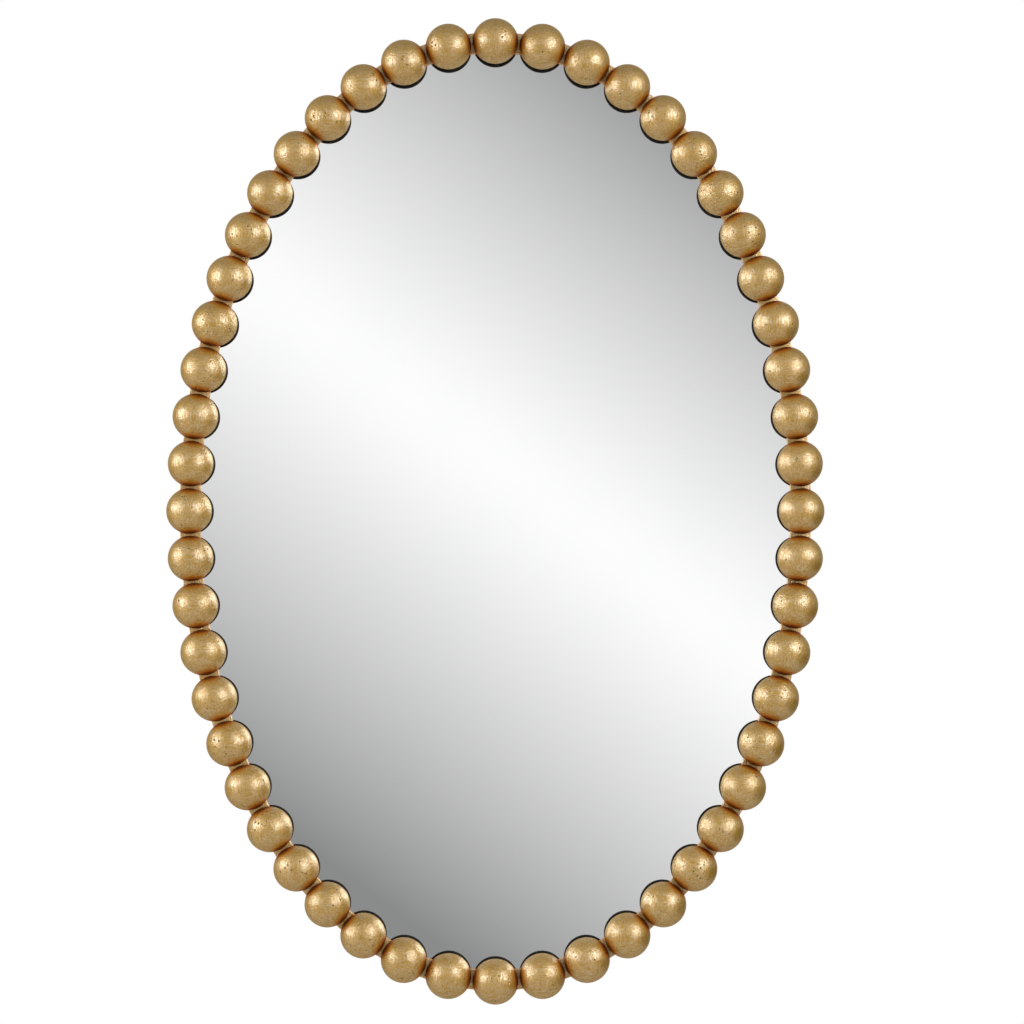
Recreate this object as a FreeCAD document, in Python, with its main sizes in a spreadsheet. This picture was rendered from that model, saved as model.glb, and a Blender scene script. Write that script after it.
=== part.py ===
import FreeCAD, Part
import math
import os
import Sketcher

# Oval wall mirror: a string of gilded balls seated on a flat steel ring, with a silvered glass in a
# pocketed back board, two strap hangers with swinging D-rings and four wall bumpers behind it.
# Frame: X across, Z up, front facing -Y. The origin is the oval's centre on the wall plane.

Vector = FreeCAD.Vector

# Driving sizes in millimetres
driving_sizes = {
    # the oval over its balls
    "overall_width": 610.0,
    "overall_height": 914.0,
    # the balls and their seat on the ring
    "ball_diameter": 42.5,
    "ball_gap_least": 1.3,
    "ball_flat_cut": 4.75,
    # the flat ring
    "ring_width": 19.0,
    "ring_thickness": 4.8,
    "ring_edge_round": 0.6,
    "ring_joint_share": 0.11,
    "ring_joint_gap": 0.2,
    # the glass and its tape
    "glass_thickness": 4.0,
    "glass_arris": 0.4,
    "glass_gap": 0.8,
    "tape_thickness": 0.8,
    "tape_width": 4.2,
    "tape_inset": 0.7,
    "tape_margin": 1.6,
    # the back board
    "board_thickness": 12.0,
    "board_inset": 1.0,
    "board_chamfer": 1.5,
    # wood screws that hold the balls
    "ball_screw_diameter": 4.0,
    "ball_screw_head": 8.0,
    "ball_screw_length": 20.0,
    "ball_screw_tip": 4.0,
    "ball_screw_recess": 0.1,
    # pan-head screws that hold the board to the ring and the straps to the board
    "pan_screw_diameter": 4.0,
    "pan_screw_head": 8.0,
    "pan_screw_head_height": 2.4,
    "board_screw_cover": 2.0,
    "board_screws_per_side": 4,
    "hanger_screw_cover": 2.2,
    "drive_slot_width": 1.0,
    "drive_slot_length": 4.2,
    "drive_slot_depth": 1.3,
    # clearances of the screws
    "hole_clearance": 0.25,
    "thread_clearance": 0.05,
    "hole_end_clearance": 0.6,
    # strap hangers
    "hanger_inset": 45.0,
    "hanger_share_round": 0.1875,
    "strap_width": 15.0,
    "strap_thickness": 1.0,
    "strap_leaf_gap": 0.15,
    "strap_neck_radius": 2.0,
    "strap_loop_to_screw": 13.0,
    "strap_end_margin": 7.0,
    "strap_corner_radius": 4.0,
    # D-rings
    "dring_wire": 3.0,
    "dring_side_gap": 1.0,
    "dring_corner_radius": 4.0,
    "dring_leg": 6.5,
    "dring_split": 0.4,
    "dring_loop_clearance": 0.2,
    "dring_rest_gap": 0.3,
    "dring_screw_gap": 1.5,
    # wall bumpers
    "bumper_spare": 0.6,
    "bumper_diameter": 16.0,
    "bumper_taper": 1.5,
    "bumper_inset": 26.0,
}

doc = FreeCAD.newDocument("oval_mirror")
sheet = doc.addObject("Spreadsheet::Sheet", "sizes")
for row, (name, amount) in enumerate(driving_sizes.items(), start=1):
    sheet.set(f"A{row}", name)
    sheet.set(f"B{row}", str(amount))
    sheet.setAlias(f"B{row}", name)
doc.recompute()


def amount_of(expression):
    # the number that an expression on the sheet stands for
    return float(sheet.evalExpression(expression.replace("sizes.", "")))


# Strap folded round the D-ring's bar, and the D-ring that clears its sides and screw heads
strap_stack = "(2 * sizes.strap_thickness + sizes.strap_leaf_gap)"
loop_radius = "(sizes.dring_wire / 2 + sizes.dring_loop_clearance)"
loop_height = f"({loop_radius} + sizes.strap_thickness)"
bow_radius = "(sizes.strap_width / 2 + sizes.dring_side_gap + sizes.dring_corner_radius)"
bow_drop = "(sizes.dring_corner_radius + sizes.dring_leg)"
dring_reach = f"({bow_drop} + {bow_radius})"
strap_far_screw = f"({dring_reach} + (sizes.dring_wire + sizes.pan_screw_head) / 2 + sizes.dring_screw_gap)"

# How far each layer's back lies in front of the wall; the bumpers stand just proud of the straps
bumper_height = f"(2 * {loop_height} + sizes.bumper_spare)"
glass_pocket = "(sizes.glass_thickness + sizes.tape_thickness)"
ball_seat_depth = "(sizes.ball_diameter / 2 - sizes.ball_flat_cut)"
board_back = bumper_height
ring_back = f"{board_back} + sizes.board_thickness"
glass_back = f"{ring_back} - {glass_pocket}"
tape_back = f"{ring_back} - sizes.tape_thickness"
ball_centre = f"{ring_back} + sizes.ring_thickness + {ball_seat_depth}"

# How far each oval edge lies outside the line through the balls' centres
ring_outer = "sizes.ring_width / 2"
ring_inner = "-sizes.ring_width / 2"
glass_edge = f"{ring_inner} + sizes.tape_inset + sizes.tape_width + sizes.tape_margin"
pocket_edge = f"{glass_edge} + sizes.glass_gap"
tape_inner = f"{ring_inner} + sizes.tape_inset"
tape_outer = f"{tape_inner} + sizes.tape_width"
board_edge = f"{ring_outer} - sizes.board_inset"
board_screw_line = f"({pocket_edge} + {board_edge}) / 2"

# Pan-head screws: their holes, the board's wall beyond them, and their bite in the ring and the board's floor
pan_screw_hole = "sizes.pan_screw_diameter + 2 * sizes.hole_clearance"
board_screw_wall = f"({board_edge} - ({board_screw_line}) - ({pan_screw_hole}) / 2)"
pan_screw_tap = "sizes.pan_screw_diameter + 2 * sizes.thread_clearance"
board_screw_bite = "(sizes.ring_thickness - sizes.board_screw_cover)"
hanger_screw_bite = f"(sizes.board_thickness - {glass_pocket} - sizes.hanger_screw_cover)"

# The line through the balls' centres, from the top round by the right
ball_line = Part.Ellipse(
    Vector(0, 0, amount_of("(sizes.overall_height - sizes.ball_diameter) / 2")),
    Vector(amount_of("(sizes.overall_width - sizes.ball_diameter) / 2"), 0, 0),
    Vector(0, 0, 0),
).toShape()
least_pitch = amount_of("sizes.ball_diameter + sizes.ball_gap_least")
balls_per_side = int(ball_line.Length / (2 * least_pitch))
ball_count = 2 * balls_per_side
ball_pitch = ball_line.Length / ball_count


def rim_point(pitches, outset="0"):
    # a point so many ball pitches from the top, moved outwards square to the line of balls
    parameter = ball_line.getParameterByLength(pitches * ball_pitch)
    outwards = ball_line.tangentAt(parameter).cross(Vector(0, 1, 0))
    return ball_line.valueAt(parameter) + outwards * amount_of(outset)


def at_depth(point, depth):
    # the same point of the front view, a set distance in front of the wall
    return Vector(point.x, -amount_of(depth), point.z)


def new_sketch(body, role, name):
    sketch = body.newObject("Sketcher::SketchObject", name)
    plane = next(item for item in body.Origin.OriginFeatures if item.Role == role)
    sketch.AttachmentSupport = [(plane, "")]
    sketch.MapMode = "FlatFace"
    return sketch


def constrain(sketch, *terms, to=None):
    # a constraint, with its size bound to the sheet where an expression is given
    if to is None:
        sketch.addConstraint(Sketcher.Constraint(*terms))
        return
    index = sketch.addConstraint(Sketcher.Constraint(*terms, amount_of(to)))
    sketch.setExpression(f"Constraints[{index}]", to)


def place_point(sketch, edge, end, across, along):
    # holds one point of an edge at a place given by two expressions
    for kind, place, axis in (("DistanceX", across, -2), ("DistanceY", along, -1)):
        if place == "0":
            constrain(sketch, "PointOnObject", edge, end, axis)
        elif amount_of(place) > 0:
            constrain(sketch, kind, -1, 1, edge, end, to=place)
        else:
            constrain(sketch, kind, edge, end, -1, 1, to=f"-({place})")


def join(sketch, first, second, kind):
    # ties the ends of two edges that meet
    for first_end in (1, 2):
        for second_end in (1, 2):
            gap = sketch.getPoint(first, first_end) - sketch.getPoint(second, second_end)
            if gap.Length < 1e-6:
                constrain(sketch, kind, first, first_end, second, second_end)
                return


def add_chain(sketch, pieces, kind="Tangent"):
    # edges that follow one another, tied end to end
    edges = [sketch.addGeometry(piece, False) for piece in pieces]
    for first, second in zip(edges, edges[1:]):
        join(sketch, first, second, kind)
    return edges


def add_outline(sketch, corners):
    # a closed outline of straight edges, each corner given as two expressions
    spots = [Vector(amount_of(across), amount_of(along), 0) for across, along in corners]
    sides = [Part.LineSegment(spot, following) for spot, following in zip(spots, spots[1:] + spots[:1])]
    edges = add_chain(sketch, sides, "Coincident")
    join(sketch, edges[-1], edges[0], "Coincident")
    for edge, (across, along) in zip(edges, corners):
        place_point(sketch, edge, 1, across, along)


def add_rectangle(sketch, half_across, low, high):
    add_outline(sketch, [
        (f"-{half_across}", low),
        (half_across, low),
        (half_across, high),
        (f"-{half_across}", high),
    ])


def add_oval(sketch, outset):
    # an ellipse that runs a set distance outside the line of balls
    tall = f"sizes.overall_height - sizes.ball_diameter + 2 * ({outset})"
    wide = f"sizes.overall_width - sizes.ball_diameter + 2 * ({outset})"
    top = Vector(0, amount_of(tall) / 2, 0)
    side = Vector(amount_of(wide) / 2, 0, 0)
    oval = sketch.addGeometry(Part.Ellipse(top, side, Vector(0, 0, 0)), False)
    sketch.exposeInternalGeometry(oval)
    tall_axis = oval + 1
    wide_axis = oval + 2
    constrain(sketch, "Coincident", oval, 3, -1, 1)
    constrain(sketch, "Vertical", tall_axis)
    constrain(sketch, "Distance", tall_axis, to=tall)
    constrain(sketch, "Distance", wide_axis, to=wide)


def add_circles(sketch, points, diameter):
    # equal circles at points of the front view
    up = Vector(0, 0, 1)
    radius = amount_of(diameter) / 2
    circles = [
        sketch.addGeometry(Part.Circle(Vector(point.x, point.z, 0), up, radius), False)
        for point in points
    ]
    constrain(sketch, "Diameter", circles[0], to=diameter)
    for circle in circles[1:]:
        constrain(sketch, "Equal", circles[0], circle)


def add_slots(sketch, ends, width):
    # equal narrow slots between pairs of points of the front view
    slots = []
    for inner, outer in ends:
        half = (outer - inner).normalize().cross(Vector(0, 1, 0)) * (amount_of(width) / 2)
        spots = [inner - half, outer - half, outer + half, inner + half]
        flat = [Vector(spot.x, spot.z, 0) for spot in spots]
        sides = [Part.LineSegment(spot, following) for spot, following in zip(flat, flat[1:] + flat[:1])]
        edges = add_chain(sketch, sides, "Coincident")
        join(sketch, edges[-1], edges[0], "Coincident")
        for first, second in zip(edges, edges[1:]):
            constrain(sketch, "Perpendicular", first, second)
        slots.append(edges)
    constrain(sketch, "Distance", slots[0][1], to=width)
    for edges in slots[1:]:
        constrain(sketch, "Equal", slots[0][1], edges[1])


def add_pad(body, sketch, name, length):
    # grows towards the front
    pad = body.newObject("PartDesign::Pad", name)
    pad.Profile = sketch
    pad.setExpression("Length", length)
    return pad


def add_pocket(body, sketch, name, depth=None):
    # cuts towards the front, to a depth or right through
    pocket = body.newObject("PartDesign::Pocket", name)
    pocket.Profile = sketch
    pocket.Reversed = True
    if depth is None:
        pocket.Type = "ThroughAll"
    else:
        pocket.setExpression("Length", depth)
    return pocket


def add_revolution(body, sketch, name):
    turned = body.newObject("PartDesign::Revolution", name)
    turned.Profile = sketch
    turned.ReferenceAxis = (sketch, ["V_Axis"])
    turned.Angle = 360


def long_edges(feature, depth, count=1):
    # names of the longest edges that lie flat at one depth of a feature
    flat = [
        (edge.Length, f"Edge{number}")
        for number, edge in enumerate(feature.Shape.Edges, start=1)
        if max(abs(edge.BoundBox.YMin - depth), abs(edge.BoundBox.YMax - depth)) < 1e-6
    ]
    return [name for length, name in sorted(flat)[-count:]]


def layer(name, depth):
    # an empty body whose back lies a set distance in front of the wall
    body = doc.addObject("PartDesign::Body", name)
    body.setExpression("Placement.Base.y", f"-({depth})")
    return body


def copy_at(form, name, place, tilt=0.0):
    # one more piece of the same form, moved to its place and tilted about X
    link = doc.addObject("App::Link", name)
    link.LinkedObject = form
    link.LinkPlacement = FreeCAD.Placement(place, FreeCAD.Rotation(Vector(1, 0, 0), tilt))
    return link


def group_of(name, pieces):
    compound = doc.addObject("Part::Compound", name)
    compound.Links = pieces
    return compound


nodes = []

# Ball: turned round, flat where it seats on the ring, with a pilot hole for its screw
ball_form = doc.addObject("PartDesign::Body", "ball_form")
ball_outline = new_sketch(ball_form, "XY_Plane", "ball_outline")
seat_radius = f"sqrt((sizes.ball_diameter / 2) ^ 2 - {ball_seat_depth} ^ 2)"
pilot_radius = "sizes.ball_screw_diameter / 2 + sizes.thread_clearance"
screw_in_ball = "(sizes.ball_screw_length + sizes.ball_screw_recess - sizes.ring_thickness)"
pilot_end = f"{ball_seat_depth} - {screw_in_ball} - sizes.hole_end_clearance"
ball_radius = amount_of("sizes.ball_diameter / 2")
ball_front = Vector(0, -ball_radius, 0)
seat_rim = Vector(amount_of(seat_radius), amount_of(ball_seat_depth), 0)
pilot_mouth = Vector(amount_of(pilot_radius), seat_rim.y, 0)
pilot_foot = Vector(pilot_mouth.x, amount_of(pilot_end), 0)
pilot_centre = Vector(0, pilot_foot.y, 0)
ball_edges = add_chain(ball_outline, [
    Part.Arc(ball_front, Vector(ball_radius, 0, 0), seat_rim),
    Part.LineSegment(seat_rim, pilot_mouth),
    Part.LineSegment(pilot_mouth, pilot_foot),
    Part.LineSegment(pilot_foot, pilot_centre),
    Part.LineSegment(pilot_centre, ball_front),
], "Coincident")
round_side, seat, pilot_wall, pilot_floor, ball_axis = ball_edges
join(ball_outline, ball_axis, round_side, "Coincident")
constrain(ball_outline, "Coincident", round_side, 3, -1, 1)
constrain(ball_outline, "Diameter", round_side, to="sizes.ball_diameter")
constrain(ball_outline, "Horizontal", seat)
place_point(ball_outline, pilot_wall, 1, pilot_radius, ball_seat_depth)
place_point(ball_outline, pilot_wall, 2, pilot_radius, pilot_end)
place_point(ball_outline, ball_axis, 1, "0", pilot_end)
constrain(ball_outline, "PointOnObject", ball_axis, 2, -2)
add_revolution(ball_form, ball_outline, "ball_turned")

# Balls: one at the top, left and right pairs down the sides, one at the bottom
ball_places = [at_depth(rim_point(number), ball_centre) for number in range(ball_count)]
nodes.append(copy_at(ball_form, "ball_top", ball_places[0]))
for number in range(1, balls_per_side):
    right_ball = copy_at(ball_form, f"ball_right_{number:02d}", ball_places[number])
    left_ball = copy_at(ball_form, f"ball_left_{number:02d}", ball_places[-number])
    nodes.append(group_of(f"ball_pair_{number:02d}", [right_ball, left_ball]))
nodes.append(copy_at(ball_form, "ball_bottom", ball_places[balls_per_side]))

# Ring: flat steel, countersunk from behind for each ball and tapped midway between some of them.
# Four rolled bars make it, two tight ends and two long sides, butted midway between balls
board_screw_gaps = [
    math.floor((index + 0.5) * ball_count / (2 * amount_of("sizes.board_screws_per_side"))) + 0.5
    for index in range(2 * int(amount_of("sizes.board_screws_per_side")))
]
board_screw_points = [rim_point(gap, board_screw_line) for gap in board_screw_gaps]
ring = layer("frame_ring", ring_back)
ring_outline = new_sketch(ring, "XZ_Plane", "ring_outline")
add_oval(ring_outline, ring_outer)
add_oval(ring_outline, ring_inner)
add_pad(ring, ring_outline, "ring_flat", "sizes.ring_thickness")
tap_circles = new_sketch(ring, "XZ_Plane", "tap_circles")
add_circles(tap_circles, board_screw_points, pan_screw_tap)
add_pocket(ring, tap_circles, "tapped_holes", f"{board_screw_bite} + sizes.hole_end_clearance")
screw_circles = new_sketch(ring, "XZ_Plane", "screw_circles")
ball_screw_hole = "sizes.ball_screw_diameter + 2 * sizes.hole_clearance"
add_circles(screw_circles, ball_places, ball_screw_hole)
doc.recompute()
screw_holes = ring.newObject("PartDesign::Hole", "screw_holes")
screw_holes.Profile = screw_circles
screw_holes.Reversed = True
screw_holes.Threaded = False
screw_holes.DepthType = "ThroughAll"
screw_holes.HoleCutType = "Countersink"
screw_holes.HoleCutCustomValues = True
screw_holes.HoleCutCountersinkAngle = 90
screw_holes.setExpression("Diameter", ball_screw_hole)
screw_holes.setExpression("HoleCutDiameter", "sizes.ball_screw_head + 2 * sizes.hole_clearance")
doc.recompute()
ring_rounds = ring.newObject("PartDesign::Fillet", "ring_rounds")
ring_rounds.Base = (screw_holes, long_edges(screw_holes, -amount_of("sizes.ring_thickness"), 2))
ring_rounds.setExpression("Radius", "sizes.ring_edge_round")
end_joint = math.floor(ball_count * amount_of("sizes.ring_joint_share")) + 0.5
joint_gaps = [end_joint, balls_per_side - end_joint, balls_per_side + end_joint, ball_count - end_joint]
bar_joints = new_sketch(ring, "XZ_Plane", "bar_joints")
add_slots(bar_joints, [
    (rim_point(gap, "-sizes.ring_width"), rim_point(gap, "sizes.ring_width")) for gap in joint_gaps
], "sizes.ring_joint_gap")
add_pocket(ring, bar_joints, "ring_bars")
nodes.append(ring)

# Ball screws: countersunk wood screws, heads just below the ring's back
ball_screw_form = doc.addObject("PartDesign::Body", "ball_screw_form")
ball_screw_outline = new_sketch(ball_screw_form, "XY_Plane", "ball_screw_outline")
shank_radius = "sizes.ball_screw_diameter / 2"
add_outline(ball_screw_outline, [
    ("0", "0"),
    ("sizes.ball_screw_head / 2", "0"),
    (shank_radius, "(sizes.ball_screw_diameter - sizes.ball_screw_head) / 2"),
    (shank_radius, "sizes.ball_screw_tip - sizes.ball_screw_length"),
    ("0", "-sizes.ball_screw_length"),
])
add_revolution(ball_screw_form, ball_screw_outline, "ball_screw_turned")
ball_screw_head = f"{ring_back} + sizes.ball_screw_recess"
nodes.append(group_of("ball_screws", [
    copy_at(ball_screw_form, f"ball_screw_{number:02d}", at_depth(place, ball_screw_head))
    for number, place in enumerate(ball_places)
]))

# Glazing tape between the ring's back and the glass
tape = layer("glazing_tape", tape_back)
tape_outline = new_sketch(tape, "XZ_Plane", "tape_outline")
add_oval(tape_outline, tape_outer)
add_oval(tape_outline, tape_inner)
add_pad(tape, tape_outline, "tape_strip", "sizes.tape_thickness")
nodes.append(tape)

# Glass: plain flat oval with its sharp edges taken off
glass = layer("mirror_glass", glass_back)
glass_outline = new_sketch(glass, "XZ_Plane", "glass_outline")
add_oval(glass_outline, glass_edge)
pane = add_pad(glass, glass_outline, "glass_pane", "sizes.glass_thickness")
doc.recompute()
pane_arris = glass.newObject("PartDesign::Chamfer", "glass_arris_edges")
pane_arris.Base = (pane, long_edges(pane, 0) + long_edges(pane, -amount_of("sizes.glass_thickness")))
pane_arris.setExpression("Size", "sizes.glass_arris")
nodes.append(glass)

# Hangers stand on the board at about a third of the height from the top
hanger_gap = math.floor(amount_of("sizes.hanger_share_round") * ball_count) + 0.5
hanger_line = f"{board_edge} - sizes.hanger_inset"
hanger_places = {
    "right": rim_point(hanger_gap, hanger_line),
    "left": rim_point(ball_count - hanger_gap, hanger_line),
}
strap_screw_drop = Vector(0, 0, amount_of(f"{strap_far_screw} - sizes.strap_loop_to_screw"))
strap_screw_points = [
    point for place in hanger_places.values() for point in (place, place - strap_screw_drop)
]

# Back board: pocketed for the glass, screwed to the ring through its rim, chamfered round its back
board = layer("back_board", board_back)
board_outline = new_sketch(board, "XZ_Plane", "board_outline")
add_oval(board_outline, board_edge)
add_pad(board, board_outline, "board_panel", "sizes.board_thickness")
pocket_outline = new_sketch(board, "XZ_Plane", "pocket_outline")
pocket_outline.setExpression("AttachmentOffset.Base.z", f"sizes.board_thickness - {glass_pocket}")
add_oval(pocket_outline, pocket_edge)
add_pocket(board, pocket_outline, "pocket_for_glass", glass_pocket)
board_circles = new_sketch(board, "XZ_Plane", "board_circles")
add_circles(board_circles, board_screw_points, pan_screw_hole)
add_pocket(board, board_circles, "board_holes")
pilot_circles = new_sketch(board, "XZ_Plane", "pilot_circles")
add_circles(pilot_circles, strap_screw_points, pan_screw_tap)
pilot_hole = f"{hanger_screw_bite} + sizes.hole_end_clearance"
pilots = add_pocket(board, pilot_circles, "pilot_holes", pilot_hole)
doc.recompute()
board_rim = board.newObject("PartDesign::Chamfer", "board_rim")
board_rim.Base = (pilots, long_edges(pilots, 0))
board_rim.setExpression("Size", f"min(sizes.board_chamfer; {board_screw_wall} / 2)")
nodes.append(board)


def pan_screw(name, reach):
    # pan-head screw with a cross slot, its origin under the head, pointing to the front
    body = doc.addObject("PartDesign::Body", name)
    outline = new_sketch(body, "XY_Plane", f"{name}_outline")
    head_radius = "sizes.pan_screw_head / 2"
    core_radius = "sizes.pan_screw_diameter / 2"
    shoulder = "sizes.pan_screw_head_height / 2"
    add_outline(outline, [
        ("0", "sizes.pan_screw_head_height"),
        (f"{head_radius} - {shoulder}", "sizes.pan_screw_head_height"),
        (head_radius, shoulder),
        (head_radius, "0"),
        (core_radius, "0"),
        (core_radius, f"-({reach})"),
        ("0", f"-({reach})"),
    ])
    add_revolution(body, outline, f"{name}_turned")
    for across, along in (("length", "width"), ("width", "length")):
        slot = new_sketch(body, "XZ_Plane", f"{name}_slot_{across}")
        slot.setExpression("AttachmentOffset.Base.z", "-sizes.pan_screw_head_height")
        half_along = f"sizes.drive_slot_{along} / 2"
        add_rectangle(slot, f"sizes.drive_slot_{across} / 2", f"-{half_along}", half_along)
        add_pocket(body, slot, f"{name}_drive_{across}", "sizes.drive_slot_depth")
    return body


# Board screws through the board's rim into the ring, hanger screws through the straps into the board
board_screw_form = pan_screw("board_screw_form", f"sizes.board_thickness + {board_screw_bite}")
hanger_screw_form = pan_screw("hanger_screw_form", f"{strap_stack} + {hanger_screw_bite}")
nodes.append(group_of("board_screws", [
    copy_at(board_screw_form, f"board_screw_{number}", at_depth(point, board_back))
    for number, point in enumerate(board_screw_points, start=1)
]))
nodes.append(group_of("hanger_screws", [
    copy_at(hanger_screw_form, f"hanger_screw_{number}", at_depth(point, f"{board_back} - {strap_stack}"))
    for number, point in enumerate(strap_screw_points, start=1)
]))

# Strap: one strip folded round the D-ring's bar, its origin on the bar's axis
strap_form = doc.addObject("PartDesign::Body", "strap_form")
strap_foot = f"-({strap_far_screw} + sizes.strap_end_margin)"
strap_bend = f"{loop_radius} + sizes.strap_thickness / 2"
leaf_spacing = "sizes.strap_thickness + sizes.strap_leaf_gap"
bend = amount_of(strap_bend)
neck = amount_of("sizes.strap_neck_radius")
foot = amount_of(strap_foot)
rear = amount_of(leaf_spacing) - bend
neck_centre = Vector(rear + neck, -math.sqrt((bend + neck) ** 2 - (rear + neck) ** 2), 0)
neck_turn = math.atan2(-neck_centre.y, -neck_centre.x)
plane_normal = Vector(0, 0, 1)
strap_path = new_sketch(strap_form, "YZ_Plane", "strap_path")
front_leaf, loop_arc, neck_arc, rear_leaf = add_chain(strap_path, [
    Part.LineSegment(Vector(-bend, foot, 0), Vector(-bend, 0, 0)),
    Part.ArcOfCircle(Part.Circle(Vector(0, 0, 0), plane_normal, bend), neck_turn - math.pi, math.pi),
    Part.ArcOfCircle(Part.Circle(neck_centre, plane_normal, neck), neck_turn, math.pi),
    Part.LineSegment(Vector(rear, neck_centre.y, 0), Vector(rear, foot, 0)),
])
constrain(strap_path, "Vertical", front_leaf)
constrain(strap_path, "Vertical", rear_leaf)
constrain(strap_path, "Coincident", loop_arc, 3, -1, 1)
constrain(strap_path, "Radius", loop_arc, to=strap_bend)
constrain(strap_path, "Radius", neck_arc, to="sizes.strap_neck_radius")
constrain(strap_path, "DistanceX", front_leaf, 1, rear_leaf, 2, to=leaf_spacing)
constrain(strap_path, "DistanceY", front_leaf, 1, -1, 1, to=f"-({strap_foot})")
constrain(strap_path, "DistanceY", rear_leaf, 2, -1, 1, to=f"-({strap_foot})")
strip_section = new_sketch(strap_form, "XY_Plane", "strip_section")
strip_section.setExpression("AttachmentOffset.Base.z", strap_foot)
add_rectangle(strip_section, "sizes.strap_width / 2", f"-{loop_height}", f"-{loop_radius}")
strip = strap_form.newObject("PartDesign::AdditivePipe", "strap_strip")
strip.Profile = strip_section
strip.Spine = strap_path
strap_circles = new_sketch(strap_form, "XZ_Plane", "strap_circles")
strap_circles.setExpression("AttachmentOffset.Base.z", f"-{loop_height}")
first_hole = Vector(0, 0, -amount_of("sizes.strap_loop_to_screw"))
add_circles(strap_circles, [first_hole, first_hole - strap_screw_drop], pan_screw_hole)
place_point(strap_circles, 0, 3, "0", "-sizes.strap_loop_to_screw")
place_point(strap_circles, 1, 3, "0", f"-{strap_far_screw}")
strap_holes = add_pocket(strap_form, strap_circles, "strap_holes")
doc.recompute()
foot_corners = [
    f"Edge{number}"
    for number, edge in enumerate(strap_holes.Shape.Edges, start=1)
    if edge.BoundBox.ZMax - foot < 1e-6 and edge.BoundBox.XLength < 1e-6
]
strap_corners = strap_form.newObject("PartDesign::Fillet", "strap_corners")
strap_corners.Base = (strap_holes, foot_corners)
strap_corners.setExpression("Radius", "sizes.strap_corner_radius")

# D-ring: bent wire with its butted ends inside the strap's fold, its origin on the bar's axis
dring_form = doc.addObject("PartDesign::Body", "dring_form")
bow = amount_of(bow_radius)
drop = amount_of(bow_drop)
corner = amount_of("sizes.dring_corner_radius")
split = amount_of("sizes.dring_split")
bow_circle = Part.Circle(Vector(0, -drop, 0), plane_normal, bow)
right_circle = Part.Circle(Vector(bow - corner, -corner, 0), plane_normal, corner)
left_circle = Part.Circle(Vector(corner - bow, -corner, 0), plane_normal, corner)
quarter = math.pi / 2
dring_path = new_sketch(dring_form, "XZ_Plane", "dring_path")
right_bar, right_bend, right_leg, bow_arc, left_leg, left_bend, left_bar = add_chain(dring_path, [
    Part.LineSegment(Vector(0, 0, 0), Vector(bow - corner, 0, 0)),
    Part.ArcOfCircle(right_circle, 0, quarter),
    Part.LineSegment(Vector(bow, -corner, 0), Vector(bow, -drop, 0)),
    Part.ArcOfCircle(bow_circle, 2 * quarter, 4 * quarter),
    Part.LineSegment(Vector(-bow, -drop, 0), Vector(-bow, -corner, 0)),
    Part.ArcOfCircle(left_circle, quarter, 2 * quarter),
    Part.LineSegment(Vector(corner - bow, 0, 0), Vector(-split, 0, 0)),
])
constrain(dring_path, "Coincident", right_bar, 1, -1, 1)
constrain(dring_path, "Horizontal", right_bar)
constrain(dring_path, "Horizontal", left_bar)
place_point(dring_path, left_bar, 2, "-sizes.dring_split", "0")
constrain(dring_path, "Radius", right_bend, to="sizes.dring_corner_radius")
constrain(dring_path, "Radius", left_bend, to="sizes.dring_corner_radius")
constrain(dring_path, "Vertical", right_leg)
constrain(dring_path, "Vertical", left_leg)
constrain(dring_path, "Radius", bow_arc, to=bow_radius)
place_point(dring_path, bow_arc, 3, "0", f"-{bow_drop}")
wire_section = new_sketch(dring_form, "YZ_Plane", "wire_section")
add_circles(wire_section, [Vector(0, 0, 0)], "sizes.dring_wire")
constrain(wire_section, "Coincident", 0, 3, -1, 1)
bent_wire = dring_form.newObject("PartDesign::AdditivePipe", "dring_bent_wire")
bent_wire.Profile = wire_section
bent_wire.Spine = dring_path

# Straps stand upright on the board, and each D-ring hangs down until its bow rests on the strap
bow_rise = f"{strap_stack} + sizes.dring_wire / 2 + sizes.dring_rest_gap - {loop_height}"
rest_tilt = math.degrees(math.asin(amount_of(bow_rise) / amount_of(dring_reach)))
for side, place in hanger_places.items():
    hinge = at_depth(place, f"{board_back} - {loop_height}")
    hinge.z += amount_of("sizes.strap_loop_to_screw")
    nodes.append(copy_at(strap_form, f"hanger_strap_{side}", hinge))
    nodes.append(copy_at(dring_form, f"d_ring_{side}", hinge, rest_tilt))
    print(f"d_ring_{side} turns about X at", [round(part, 3) for part in hinge])

# Bumpers: tapered rubber feet whose flat ends meet the wall
bumper_form = doc.addObject("PartDesign::Body", "bumper_form")
bumper_outline = new_sketch(bumper_form, "XY_Plane", "bumper_outline")
bumper_radius = "sizes.bumper_diameter / 2"
add_outline(bumper_outline, [
    ("0", f"-{bumper_height}"),
    (bumper_radius, f"-{bumper_height}"),
    (f"{bumper_radius} - sizes.bumper_taper", "0"),
    ("0", "0"),
])
add_revolution(bumper_form, bumper_outline, "bumper_turned")
bumper_line = f"{board_edge} - sizes.bumper_inset"
for eighths, corner_name in ((1, "upper_right"), (3, "lower_right"), (5, "lower_left"), (7, "upper_left")):
    place = rim_point(eighths * ball_count / 8, bumper_line)
    nodes.append(copy_at(bumper_form, f"bumper_{corner_name}", place))

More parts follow.
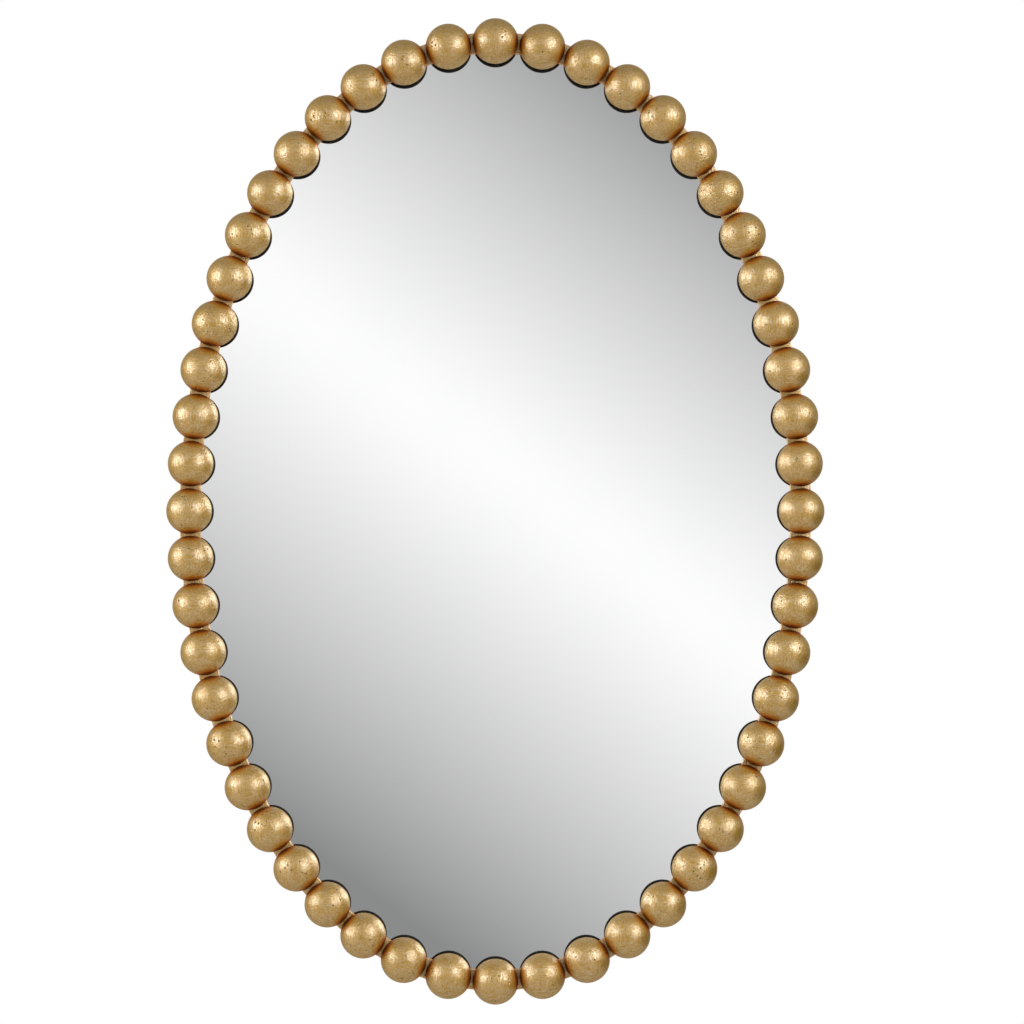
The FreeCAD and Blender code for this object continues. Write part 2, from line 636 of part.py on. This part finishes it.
doc.recompute()
for item in doc.Objects:
    if "Invalid" in item.State or "Error" in item.State:
        raise RuntimeError(f"{item.Name} failed: {item.State}")
shapes = {node.Label: Part.getShape(node) for node in nodes}
for name, shape in shapes.items():
    if shape.isNull() or not shape.isValid():
        raise RuntimeError(f"{name} has no valid shape")
os.makedirs("parts", exist_ok=True)
for name, shape in shapes.items():
    shape.exportStep(f"parts/{name}.step")
    box = shape.BoundBox
    print(f"{name}: {len(shape.Solids)} solids, {shape.Volume:.1f} mm3, y {box.YMin:.2f} to {box.YMax:.2f}")
print(f"{ball_count} balls, one every {ball_pitch:.3f} mm")
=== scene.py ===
import math
import bmesh
import bpy
from mathutils import Matrix, Vector, noise


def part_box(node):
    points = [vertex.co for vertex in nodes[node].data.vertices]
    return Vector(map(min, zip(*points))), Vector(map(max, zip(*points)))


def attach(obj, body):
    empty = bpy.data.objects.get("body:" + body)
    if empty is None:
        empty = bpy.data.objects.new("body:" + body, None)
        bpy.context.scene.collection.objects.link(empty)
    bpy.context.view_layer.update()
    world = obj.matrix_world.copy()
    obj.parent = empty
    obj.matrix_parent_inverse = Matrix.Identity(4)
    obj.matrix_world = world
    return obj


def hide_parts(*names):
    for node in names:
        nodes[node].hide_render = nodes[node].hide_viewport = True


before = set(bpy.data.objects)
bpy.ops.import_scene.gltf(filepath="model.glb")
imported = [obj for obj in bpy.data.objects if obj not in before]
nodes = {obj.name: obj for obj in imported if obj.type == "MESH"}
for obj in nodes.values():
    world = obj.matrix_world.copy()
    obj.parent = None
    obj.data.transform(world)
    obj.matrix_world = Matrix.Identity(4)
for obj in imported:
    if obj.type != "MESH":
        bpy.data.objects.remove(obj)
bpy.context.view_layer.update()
print("frame loaded,", len(nodes), "nodes")


class Value:  # one socket, so that masks are written as plain sums
    def __init__(self, shader, socket):
        self.shader = shader
        self.socket = socket

    def math(self, operation, *terms):
        return self.shader.math(operation, self, *terms)

    def __add__(self, other):
        return self.math("ADD", other)

    def __radd__(self, other):
        return self.shader.math("ADD", other, self)

    def __sub__(self, other):
        return self.math("SUBTRACT", other)

    def __rsub__(self, other):
        return self.shader.math("SUBTRACT", other, self)

    def __mul__(self, other):
        return self.math("MULTIPLY", other)

    def __rmul__(self, other):
        return self.shader.math("MULTIPLY", other, self)

    def __truediv__(self, other):
        return self.math("DIVIDE", other)

    def __rtruediv__(self, other):
        return self.shader.math("DIVIDE", other, self)

    def clamped(self):
        return self.shader.node("ShaderNodeClamp", {}, {"Value": self})

    def step(self, low, high):  # soft step from 0 at low to 1 at high
        sockets = {"Value": self, "From Min": low, "From Max": high}
        return self.shader.node("ShaderNodeMapRange", {"interpolation_type": "SMOOTHSTEP"}, sockets)


class Shader:  # a node tree that is filled by one method
    def __init__(self, tree):
        self.tree = tree
        tree.nodes.clear()

    def node(self, kind, settings=None, sockets=None, out=0):
        made = self.tree.nodes.new(kind)
        for key, setting in (settings or {}).items():
            setattr(made, key, setting)
        for key, amount in (sockets or {}).items():
            if isinstance(amount, Value):
                self.tree.links.new(amount.socket, made.inputs[key])
            else:
                made.inputs[key].default_value = amount
        return Value(self, made.outputs[out]) if made.outputs else None

    def math(self, operation, *terms):
        return self.node("ShaderNodeMath", {"operation": operation}, dict(enumerate(terms)))

    def place(self):  # Object coordinates, in metres
        return self.node("ShaderNodeTexCoord", out="Object")

    def stretched(self, scale, turn=(0.0, 0.0, 0.0)):
        return self.node("ShaderNodeMapping", {}, {"Vector": self.place(), "Rotation": turn, "Scale": scale})

    def cloud(self, span, detail=3.0, rough=0.55, vector=None):  # noise whose lumps are about one span wide
        sockets = {"Vector": vector or self.place(), "Scale": 1.0 / span, "Detail": detail, "Roughness": rough}
        return self.node("ShaderNodeTexNoise", {}, sockets)

    def cells(self, span, out="Distance"):
        return self.node("ShaderNodeTexVoronoi", {}, {"Vector": self.place(), "Scale": 1.0 / span}, out)

    def axis(self, name):
        return self.node("ShaderNodeSeparateXYZ", {}, {0: self.place()}, name)

    def red(self, colour):
        return self.node("ShaderNodeSeparateColor", {}, {0: colour}, "Red")

    def mix(self, share, first, second):  # two colours; sockets 6 and 7, and output 2, are the node's colour ones
        sockets = {0: share}
        for slot, colour in ((6, first), (7, second)):
            sockets[slot] = colour if isinstance(colour, Value) else (*colour, 1.0)
        return self.node("ShaderNodeMix", {"data_type": "RGBA"}, sockets, 2)

    def bump(self, height, depth):
        return self.node("ShaderNodeBump", {}, {"Height": height, "Distance": depth, "Strength": 1.0})

    def principled(self, sockets):
        return self.node("ShaderNodeBsdfPrincipled", {}, sockets)

    def finish(self, surface):
        self.node("ShaderNodeOutputMaterial", {}, {"Surface": surface})


def newFinish(name):
    material = bpy.data.materials.new(name)
    material.use_nodes = True
    return material, Shader(material.node_tree)


def finishNodes(material, *names):
    for name in names:
        for slot in nodes[name].material_slots:
            slot.material = material


def addPiece(name, bm, material, replaced, body="mirror_frame"):
    mesh = bpy.data.meshes.new(name)
    bm.to_mesh(mesh)
    bm.free()
    mesh.materials.append(material)
    mesh.shade_smooth()
    piece = bpy.data.objects.new(name, mesh)
    bpy.context.scene.collection.objects.link(piece)
    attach(piece, body)
    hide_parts(*replaced)
    return piece


# Places of the balls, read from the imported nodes: top, right side down, bottom, left side up
topLow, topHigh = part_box("ball_top")
ballRadius = (topHigh.z - topLow.z) / 2
ballDepth = topLow.y + ballRadius
seatDepth = topHigh.y
pairNames = sorted(name for name in nodes if name.startswith("ball_pair_"))


def pairCentres(name):
    low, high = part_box(name)
    side = high.x - ballRadius
    height = (low.z + high.z) / 2
    return [Vector((side, ballDepth, height)), Vector((-side, ballDepth, height))]


topCentre = Vector((0, ballDepth, (topLow.z + topHigh.z) / 2))
bottomLow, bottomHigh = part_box("ball_bottom")
bottomCentre = Vector((0, ballDepth, (bottomLow.z + bottomHigh.z) / 2))
ballNodes = {"ball_top": [topCentre], "ball_bottom": [bottomCentre]}
ballNodes.update({name: pairCentres(name) for name in pairNames})
rightSide = [ballNodes[name][0] for name in pairNames]
leftSide = [ballNodes[name][1] for name in pairNames]
ballString = [topCentre, *rightSide, bottomCentre, *reversed(leftSide)]

# Gold leaf: dull deep gold, brushed to pale burnished strokes, pitted, and glazed brown in the crevices; the
# brown there is partly painted shade and a painted warm glow where the parts meet
leafLook = {
    "gold": (0.45, 0.262, 0.028),
    "burnish": (0.97, 0.905, 0.77),
    # amber and umber: brown glaze, darkened as painted shade and warmed as a painted glow of the neighbouring
    # gold near the contacts
    "amberGlazeAndGlow": (0.54, 0.19, 0.013),
    "umberGlazeAndShade": (0.22, 0.060, 0.008),
    "fleck": (0.05, 0.028, 0.012),
    "paint": (0.003, 0.0025, 0.002),
    "patchSpan": 0.008,
    "grainSpan": 0.0015,
    "strokeWidth": 0.0010,
    "strokeStretch": 0.10,
    "strokeTurns": (0.25, 0.15),   # slant of the upright and of the level strokes
    "brushSpan": 0.03,             # how far the brush goes before it changes direction
    "brushChange": (0.46, 0.54),
    "pitSpan": 0.0034,
    "pitSize": (0.14, 0.36),
    "pitChosen": (0.58, 0.64),
    "pitHomeSpan": 0.016,
    "pitHome": (0.48, 0.60),
    "pitDark": 0.7,
    "creviceWander": 0.5,
    "amberGlazeAndGlowRange": (0.0, 0.8),
    "umberGlazeAndShadeRange": (0.5, 1.0),
    "paintWander": 0.0006,
    "paintEdge": 0.0002,
    "relief": (0.4, 0.3, 0.7, 0.9),   # shares of strokes, grain, patches and pits in the bumps
    "rubbing": (0.45, 0.4, 0.15),     # shares of strokes, grain and patches in the burnish
    "rubbedRange": (0.39, 0.62),
    "amberGlazeAndGlowDull": 0.75,
    "goldRoughness": (0.56, 0.72),
    "burnishRoughness": (0.26, 0.34),
    "burnishShare": (0.065, 0.32),
    "bumpDepth": 0.00075,
}


def leafFinish(name, paintFrom, gold=leafLook["gold"], polishAndPaintedLight=0.0):
    material, shader = newFinish(name)
    look = leafLook
    patches = shader.cloud(look["patchSpan"], 4.0, 0.6)
    grain = shader.cloud(look["grainSpan"], 3.0, 0.6)
    stretch, width = look["strokeStretch"], look["strokeWidth"]
    slantUp, slantLevel = look["strokeTurns"]
    upright = shader.cloud(width, 2.0, 0.5, shader.stretched((1.0, 1.0, stretch), (0.0, slantUp, 0.0)))
    level = shader.cloud(width, 2.0, 0.5, shader.stretched((stretch, 1.0, 1.0), (0.0, slantLevel, 0.0)))
    turnOver = shader.cloud(look["brushSpan"], 1.0).step(*look["brushChange"])
    strokes = upright * turnOver + level * (1.0 - turnOver)
    pitChosen = shader.red(shader.cells(look["pitSpan"], "Color")).step(*look["pitChosen"])
    pitHome = shader.cloud(look["pitHomeSpan"], 2.0).step(*look["pitHome"])
    pits = (1.0 - shader.cells(look["pitSpan"]).step(*look["pitSize"])) * pitChosen * pitHome
    crevice = shader.node("ShaderNodeAttribute", {"attribute_name": "crevice"}, out="Fac")
    crevice = (crevice + (patches - 0.5) * look["creviceWander"] * crevice).clamped()
    # painted shade and painted warm glow, with some real glaze, towards the neighbouring balls
    amberGlazeAndGlow, umberGlazeAndShade = crevice.step(*look["amberGlazeAndGlowRange"]), crevice.step(*look["umberGlazeAndShadeRange"])
    wander = (patches - 0.5) * look["paintWander"]
    paint = (shader.axis("Y") + wander).step(paintFrom, paintFrom + look["paintEdge"])
    bare = ((1.0 - pits * look["pitDark"]) * (1.0 - paint)).clamped()
    ofStrokes, ofGrain, ofPatches, ofPits = look["relief"]
    relief = strokes * ofStrokes + grain * ofGrain + patches * ofPatches - pits * ofPits
    height = shader.bump(relief, look["bumpDepth"])
    colour = shader.mix(amberGlazeAndGlow, gold, look["amberGlazeAndGlow"])
    colour = shader.mix(umberGlazeAndShade, colour, look["umberGlazeAndShade"])
    colour = shader.mix(pits * look["pitDark"], colour, look["fleck"])
    colour = shader.mix(paint, colour, look["paint"])
    low, high = look["goldRoughness"]
    dull = shader.principled({
        "Base Color": colour,
        "Metallic": bare,
        "Roughness": (low + (high - low) * patches + paint * 0.2).clamped(),
        "Specular IOR Level": 0.1,
        "Normal": height,
    })
    low, high = look["burnishRoughness"]
    bright = shader.principled({
        "Base Color": (*look["burnish"], 1.0),
        "Metallic": 1.0,
        "Roughness": (low + (high - low) * grain).clamped(),
        "Normal": height,
    })
    low, high = look["burnishShare"]
    ofStrokes, ofGrain, ofPatches = look["rubbing"]
    rubbed = (strokes * ofStrokes + grain * ofGrain + patches * ofPatches).step(*look["rubbedRange"])
    # polish raises the pale share; on the ring it is painted light
    share = (low + (high - low) * rubbed + polishAndPaintedLight) * bare * (1.0 - amberGlazeAndGlow * look["amberGlazeAndGlowDull"])
    shader.finish(shader.node("ShaderNodeMixShader", {}, {0: share.clamped(), 1: dull, 2: bright}))
    return material


# Balls: hand-turned, so each dips a little here and there, flat where it sits on the ring
ballShape = {
    "subdivisions": 5,
    "dip": 0.00012,
    "dipSpan": 0.012,
    # how far the glaze, the painted shade and the painted glow reach towards a neighbour
    "creviceFrom": 0.66,   # how squarely the surface faces a neighbour
    "creviceFull": 1.0,
    "paintBehind": 0.0002,  # the paint starts this far behind the widest place
}
leafMaterial = leafFinish("goldLeaf", ballDepth + ballShape["paintBehind"])
print("gold leaf ready")


def softStep(low, high, amount):
    share = min(1.0, max(0.0, (amount - low) / (high - low)))
    return share * share * (3.0 - 2.0 * share)


def addBall(bm, centre, creviceLayer):
    place = ballString.index(centre)
    neighbours = [ballString[place - 1], ballString[(place + 1) % len(ballString)]]
    towards = [(other - centre).normalized() for other in neighbours]
    made = bmesh.ops.create_icosphere(bm, subdivisions=ballShape["subdivisions"], radius=ballRadius,
                                      matrix=Matrix.Translation(centre))
    verts = made["verts"]
    for vert in verts:
        outwards = (vert.co - centre).normalized()
        facing = max(outwards.dot(way) for way in towards)
        vert[creviceLayer] = softStep(ballShape["creviceFrom"], ballShape["creviceFull"], facing)
        wave = noise.noise(vert.co / ballShape["dipSpan"])
        vert.co -= outwards * ballShape["dip"] * (0.5 + 0.5 * wave)
    edges = {edge for vert in verts for edge in vert.link_edges}
    faces = {face for vert in verts for face in vert.link_faces}
    cut = bmesh.ops.bisect_plane(bm, geom=[*verts, *edges, *faces], dist=1e-6, plane_co=(0, seatDepth, 0),
                                 plane_no=(0, 1, 0), clear_outer=True)
    rim = [item for item in cut["geom_cut"] if isinstance(item, bmesh.types.BMEdge)]
    bmesh.ops.contextual_create(bm, geom=rim)


def addBalls(name, centres):
    bm = bmesh.new()
    creviceLayer = bm.verts.layers.float.new("crevice")
    for centre in centres:
        addBall(bm, centre, creviceLayer)
    bmesh.ops.recalc_face_normals(bm, faces=bm.faces)
    return addPiece(f"gilded_{name}", bm, leafMaterial, [name])


for ballName, centres in ballNodes.items():
    addBalls(ballName, centres)
print(len(ballString), "balls set")

# Ring: flat steel bar bent to the oval, gilded with the balls on it
ringShape = {
    "segmentsPerBall": 20,
    "edgeRound": 0.0006,
    "roundSegments": 3,
    # brown glaze near each ball seat, partly painted shade where the bar meets the balls
    "glazeAndShadeFrom": 0.0230,
    "glazeAndShadeFull": 0.0192,
    # paler than the balls' gold, with extra burnished share: painted light on the bar, which sits in shade
    # between the balls
    "gold": (0.70, 0.42, 0.10),
    "polishAndPaintedLight": 0.03,
    "paintDepth": 0.0003,
}


def addRing():
    low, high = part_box("frame_ring")
    width = 2 * (high.x - rightSide[len(rightSide) // 2].x)  # bar width, from the ball line at the widest place
    outer = Vector((high.x, high.z))
    inner = outer - Vector((width, width))
    bm = bmesh.new()
    upright = Matrix.Translation((0, high.y, 0)) @ Matrix.Rotation(math.pi / 2, 4, "X")
    start = bmesh.ops.create_circle(bm, segments=len(ballString) * ringShape["segmentsPerBall"], radius=1.0,
                                    matrix=upright @ Matrix.Diagonal((*outer, 1, 1)))
    loop = list({edge for vert in start["verts"] for edge in vert.link_edges})
    before, depth = outer, high.y
    corners = []
    for size, newDepth in ((outer, low.y), (inner, low.y), (inner, high.y), (outer, high.y)):
        grown = bmesh.ops.extrude_edge_only(bm, edges=loop)["geom"]
        verts = [item for item in grown if isinstance(item, bmesh.types.BMVert)]
        bmesh.ops.scale(bm, verts=verts, vec=(size.x / before.x, 1.0, size.y / before.y))
        bmesh.ops.translate(bm, verts=verts, vec=(0, newDepth - depth, 0))
        loop = [item for item in grown if isinstance(item, bmesh.types.BMEdge) and item.is_boundary]
        corners.append(loop)
        before, depth = size, newDepth
    bmesh.ops.remove_doubles(bm, verts=bm.verts, dist=1e-6)
    bmesh.ops.recalc_face_normals(bm, faces=bm.faces)
    bmesh.ops.bevel(bm, geom=corners[0] + corners[1], offset=ringShape["edgeRound"], affect="EDGES",
                    segments=ringShape["roundSegments"], profile=0.5, material=-1)
    creviceLayer = bm.verts.layers.float.new("crevice")
    for vert in bm.verts:
        flat = Vector((vert.co.x, ballDepth, vert.co.z))
        nearest = min((flat - centre).length for centre in ballString)
        # glaze and painted shade on the bar, strongest nearest a ball
        vert[creviceLayer] = 1.0 - softStep(ringShape["glazeAndShadeFull"], ringShape["glazeAndShadeFrom"], nearest)
    return addPiece("gilded_ring", bm, ringMaterial, ["frame_ring"])


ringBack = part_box("frame_ring")[1].y
ringMaterial = leafFinish("giltRing", ringBack - ringShape["paintDepth"], ringShape["gold"], ringShape["polishAndPaintedLight"])
addRing()
print("ring set")

# Silvered glass: a clear mirror with the faintest haze
glassLook = {
    "silver": (0.985, 0.988, 0.986),
    "haze": (0.972, 0.978, 0.976),
    "hazeSpan": 0.12,
    "hazeRange": (0.4, 0.75),
    "roughness": (0.008, 0.016),
}


def glassFinish():
    material, shader = newFinish("silveredGlass")
    haze = shader.cloud(glassLook["hazeSpan"], 3.0, 0.6).step(*glassLook["hazeRange"])
    low, high = glassLook["roughness"]
    shader.finish(shader.principled({
        "Base Color": shader.mix(haze, glassLook["silver"], glassLook["haze"]),
        "Metallic": 1.0,
        "Roughness": low + (high - low) * haze,
    }))
    return material


finishNodes(glassFinish(), "mirror_glass")

# Black board: rolled paint over pressed fibre
boardLook = {
    "paint": (0.016, 0.016, 0.017),
    "worn": (0.045, 0.042, 0.038),
    "fibreSpan": 0.0011,
    "fibreStretch": 0.25,
    "fibreRange": (0.55, 0.8),
    "rollerSpan": 0.0028,
    "scuffSpan": 0.03,
    "scuffRange": (0.56, 0.74),
    "roughness": 0.52,
    "bumpDepth": 0.00018,
}


def boardFinish():
    material, shader = newFinish("blackBoard")
    look = boardLook
    fibres = shader.cloud(look["fibreSpan"], 4.0, 0.65, shader.stretched((1.0, 1.0, look["fibreStretch"])))
    roller = shader.cloud(look["rollerSpan"], 2.0)
    scuffs = shader.cloud(look["scuffSpan"], 5.0, 0.7).step(*look["scuffRange"])
    worn = (scuffs * 0.5 + fibres.step(*look["fibreRange"]) * 0.35).clamped()
    shader.finish(shader.principled({
        "Base Color": shader.mix(worn, look["paint"], look["worn"]),
        "Roughness": (look["roughness"] + scuffs * 0.2 + roller * 0.15).clamped(),
        "Normal": shader.bump(roller * 0.7 + fibres * 0.3, look["bumpDepth"]),
    }))
    return material


finishNodes(boardFinish(), "back_board")

# Zinc plate: cool bright steel with a cloudy bloom and fine scratches
zincLook = {
    "bright": (0.66, 0.67, 0.68),
    "bloom": (0.44, 0.45, 0.45),
    "bloomSpan": 0.006,
    "bloomRange": (0.38, 0.7),
    "scratchWidth": 0.0004,
    "scratchStretch": 0.06,
    "scratchTurn": 0.4,
    "roughness": 0.22,
    "bumpDepth": 0.00003,
}


def zincFinish():
    material, shader = newFinish("zincPlate")
    look = zincLook
    bloom = shader.cloud(look["bloomSpan"], 5.0, 0.65)
    along = shader.stretched((1.0, 1.0, look["scratchStretch"]), (0.0, look["scratchTurn"], 0.0))
    scratches = shader.cloud(look["scratchWidth"], 2.0, 0.5, along)
    shader.finish(shader.principled({
        "Base Color": shader.mix(bloom.step(*look["bloomRange"]), look["bright"], look["bloom"]),
        "Metallic": 1.0,
        "Roughness": (look["roughness"] + bloom * 0.22 + scratches * 0.12).clamped(),
        "Normal": shader.bump(scratches * 0.6 + bloom * 0.4, look["bumpDepth"]),
    }))
    return material


finishNodes(zincFinish(), "ball_screws", "board_screws", "hanger_screws", "hanger_strap_left",
            "hanger_strap_right", "d_ring_left", "d_ring_right")

# Bumper rubber: black, dusty in places
rubberLook = {
    "rubber": (0.022, 0.022, 0.023),
    "dusty": (0.06, 0.058, 0.055),
    "dustSpan": 0.004,
    "dustRange": (0.45, 0.75),
    "grainSpan": 0.0005,
    "roughness": (0.6, 0.85),
    "bumpDepth": 0.00006,
}


def rubberFinish():
    material, shader = newFinish("bumperRubber")
    look = rubberLook
    dust = shader.cloud(look["dustSpan"], 4.0, 0.6).step(*look["dustRange"])
    low, high = look["roughness"]
    shader.finish(shader.principled({
        "Base Color": shader.mix(dust, look["rubber"], look["dusty"]),
        "Roughness": (low + (high - low) * dust).clamped(),
        "Normal": shader.bump(shader.cloud(look["grainSpan"], 2.0), look["bumpDepth"]),
    }))
    return material


finishNodes(rubberFinish(), *(name for name in nodes if name.startswith("bumper_")))

# Foam tape: dark and full of pores, with painted shade darkening each pore
foamLook = {
    "pore": (0.022, 0.022, 0.023),
    "wall": (0.05, 0.05, 0.052),
    "poreSpan": 0.0006,
    "roughness": (0.75, 0.95),
    "bumpDepth": 0.0002,
}


def foamFinish():
    material, shader = newFinish("foamTape")
    walls = shader.cells(foamLook["poreSpan"])
    low, high = foamLook["roughness"]
    shader.finish(shader.principled({
        # the pore colour is painted shade in the hollows of the cells
        "Base Color": shader.mix(walls, foamLook["pore"], foamLook["wall"]),
        "Roughness": (low + (high - low) * walls).clamped(),
        "Normal": shader.bump(walls, foamLook["bumpDepth"]),
    }))
    return material


finishNodes(foamFinish(), "glazing_tape")
print("back pieces finished")

# Camera: straight on and a little below the middle, far enough to be almost flat
photoView = {
    "frameWidth": 0.9486,     # what the picture spans across the line of balls, in metres
    "distance": 6.1,
    "drop": 0.057,            # how far the lens is below the oval's centre
    "aim": (0.0154, -0.0009),  # what lies in the middle of the picture, across and up
    "sensor": 36.0,
}


def addCamera():
    lens = bpy.data.cameras.new("photoCamera")
    lens.sensor_width = photoView["sensor"]
    lens.lens = photoView["sensor"] * photoView["distance"] / photoView["frameWidth"]
    camera = bpy.data.objects.new("photoCamera", lens)
    bpy.context.scene.collection.objects.link(camera)
    camera.location = (0, ballDepth - photoView["distance"], -photoView["drop"])
    target = Vector((photoView["aim"][0], ballDepth, photoView["aim"][1]))
    camera.rotation_euler = (target - camera.location).to_track_quat("-Z", "Y").to_euler()
    bpy.context.scene.camera = camera
    return camera


camera = addCamera()

# Lamps: two tall soft boxes, one well to the left and one to the right
lampPlan = {
    "left": {"place": (-2.98, -1.03, 0.70), "size": (1.8, 2.3), "power": 64.0},
    "right": {"place": (2.38, -2.07, 1.05), "size": (1.8, 2.4), "power": 70.0},
}


def addLamp(name, plan):
    light = bpy.data.lights.new(f"{name}SoftBox", "AREA")
    light.shape = "RECTANGLE"
    light.size, light.size_y = plan["size"]
    light.energy = plan["power"]
    lamp = bpy.data.objects.new(f"{name}SoftBox", light)
    bpy.context.scene.collection.objects.link(lamp)
    lamp.location = plan["place"]
    lamp.rotation_euler = (-lamp.location).to_track_quat("-Z", "Z").to_euler()


for side, plan in lampPlan.items():
    addLamp(side, plan)


def addSheet(name, size, turn, material, onlyReflected=False):  # a flat sheet of the studio
    bm = bmesh.new()
    bmesh.ops.create_grid(bm, x_segments=1, y_segments=1, size=0.5, matrix=turn @ Matrix.Diagonal((*size, 1, 1)))
    mesh = bpy.data.meshes.new(name)
    bm.to_mesh(mesh)
    bm.free()
    mesh.materials.append(material)
    sheet = bpy.data.objects.new(name, mesh)
    bpy.context.scene.collection.objects.link(sheet)
    if onlyReflected:
        sheet.visible_camera = False
        sheet.visible_diffuse = False
        sheet.visible_shadow = False


# Graded card far behind the camera, which the glass shows: bright along a slanting ridge
cardPlan = {
    "depth": -9.0,
    "size": (3.6, 5.2),
    "ridgeThrough": (-0.0143, 0.0565),  # a point of the ridge on the glass, across and up
    "ridgeAcross": (0.595, 0.804),      # the way square to the ridge, across and up
    "top": 1.075,
    "fade": 0.482,                      # distance on the glass over which white would fade to black
    "ridgeRound": 0.0405,
    "least": 0.26,
    "shade": (0.0, 0.0015, 0.003),      # a cool black
    "white": (1.0, 1.0, 1.0),
}


def addCard():
    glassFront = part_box("mirror_glass")[0].y
    reach = glassFront - camera.location.y
    share = reach / (reach + glassFront - cardPlan["depth"])  # from the card down to the glass
    material, shader = newFinish("gradedCard")
    across, up = cardPlan["ridgeAcross"]
    startX, startZ = cardPlan["ridgeThrough"]
    glassX = shader.axis("X") * share
    glassZ = (shader.axis("Z") - camera.location.z) * share + camera.location.z
    offRidge = (glassX - startX) * across + (glassZ - startZ) * up
    rounded = (offRidge * offRidge + cardPlan["ridgeRound"] ** 2).math("SQRT")
    bright = (cardPlan["top"] - rounded / cardPlan["fade"]).math("MAXIMUM", cardPlan["least"])
    colour = shader.mix(bright, cardPlan["shade"], cardPlan["white"])
    shader.finish(shader.node("ShaderNodeEmission", {}, {"Color": colour, "Strength": 1.0}))
    upright = Matrix.Translation((0, cardPlan["depth"], 0)) @ Matrix.Rotation(-math.pi / 2, 4, "X")
    addSheet("gradedCard", cardPlan["size"], upright, material, onlyReflected=True)


addCard()

# Dark flag low on the right, which only the gold shows
flagPlan = {"place": (1.6, 0.1, -0.68), "size": (1.0, 2.4), "colour": (0.06, 0.06, 0.06, 1.0), "roughness": 0.9}


def addFlag():
    material, shader = newFinish("darkFlag")
    shader.finish(shader.principled({"Base Color": flagPlan["colour"], "Roughness": flagPlan["roughness"]}))
    sideways = Matrix.Translation(flagPlan["place"]) @ Matrix.Rotation(math.pi / 2, 4, "Y")
    addSheet("darkFlag", flagPlan["size"], sideways, material, onlyReflected=True)


addFlag()

# Floor: pale, well below the mirror
floorPlan = {
    "height": -1.2,
    "size": (16.0, 16.0),
    "colour": (0.76, 0.72, 0.66),
    "mottled": (0.73, 0.69, 0.63),
    "mottleSpan": 0.6,
    "roughness": 0.7,
}


def addFloor():
    material, shader = newFinish("paleFloor")
    mottle = shader.cloud(floorPlan["mottleSpan"])
    shader.finish(shader.principled({
        "Base Color": shader.mix(mottle, floorPlan["colour"], floorPlan["mottled"]),
        "Roughness": floorPlan["roughness"],
    }))
    addSheet("paleFloor", floorPlan["size"], Matrix.Translation((0, 0, floorPlan["height"])), material)


addFloor()

# World: a studio that is brightest in front; the eye, and metal and glass looking straight back, see white behind
worldPlan = {"studio": 0.372, "glow": 0.34, "glowRange": (0.1, 1.0), "above": 0.04, "backWall": (0.8, 1.0)}


def addWorld():
    world = bpy.data.worlds.new("studio")
    world.use_nodes = True
    bpy.context.scene.world = world
    shader = Shader(world.node_tree)
    way = shader.node("ShaderNodeTexCoord", out="Generated")
    back, up = (shader.node("ShaderNodeSeparateXYZ", {}, {0: way}, name) for name in "YZ")
    byEye, byMetal, byGlass = (shader.node("ShaderNodeLightPath", out=f"Is {kind} Ray")
                               for kind in ("Camera", "Glossy", "Transmission"))
    seen = (byEye + (byMetal + byGlass) * back.step(*worldPlan["backWall"])).clamped()
    glow = (0.0 - back).step(*worldPlan["glowRange"]) * worldPlan["glow"]
    strength = (worldPlan["studio"] + glow + up * worldPlan["above"]) * (1.0 - seen) + seen
    light = shader.node("ShaderNodeBackground", {}, {"Color": (1.0, 1.0, 1.0, 1.0), "Strength": strength})
    shader.node("ShaderNodeOutputWorld", {}, {"Surface": light})


addWorld()
scene = bpy.context.scene
scene.view_settings.view_transform = "Standard"
print("studio ready")
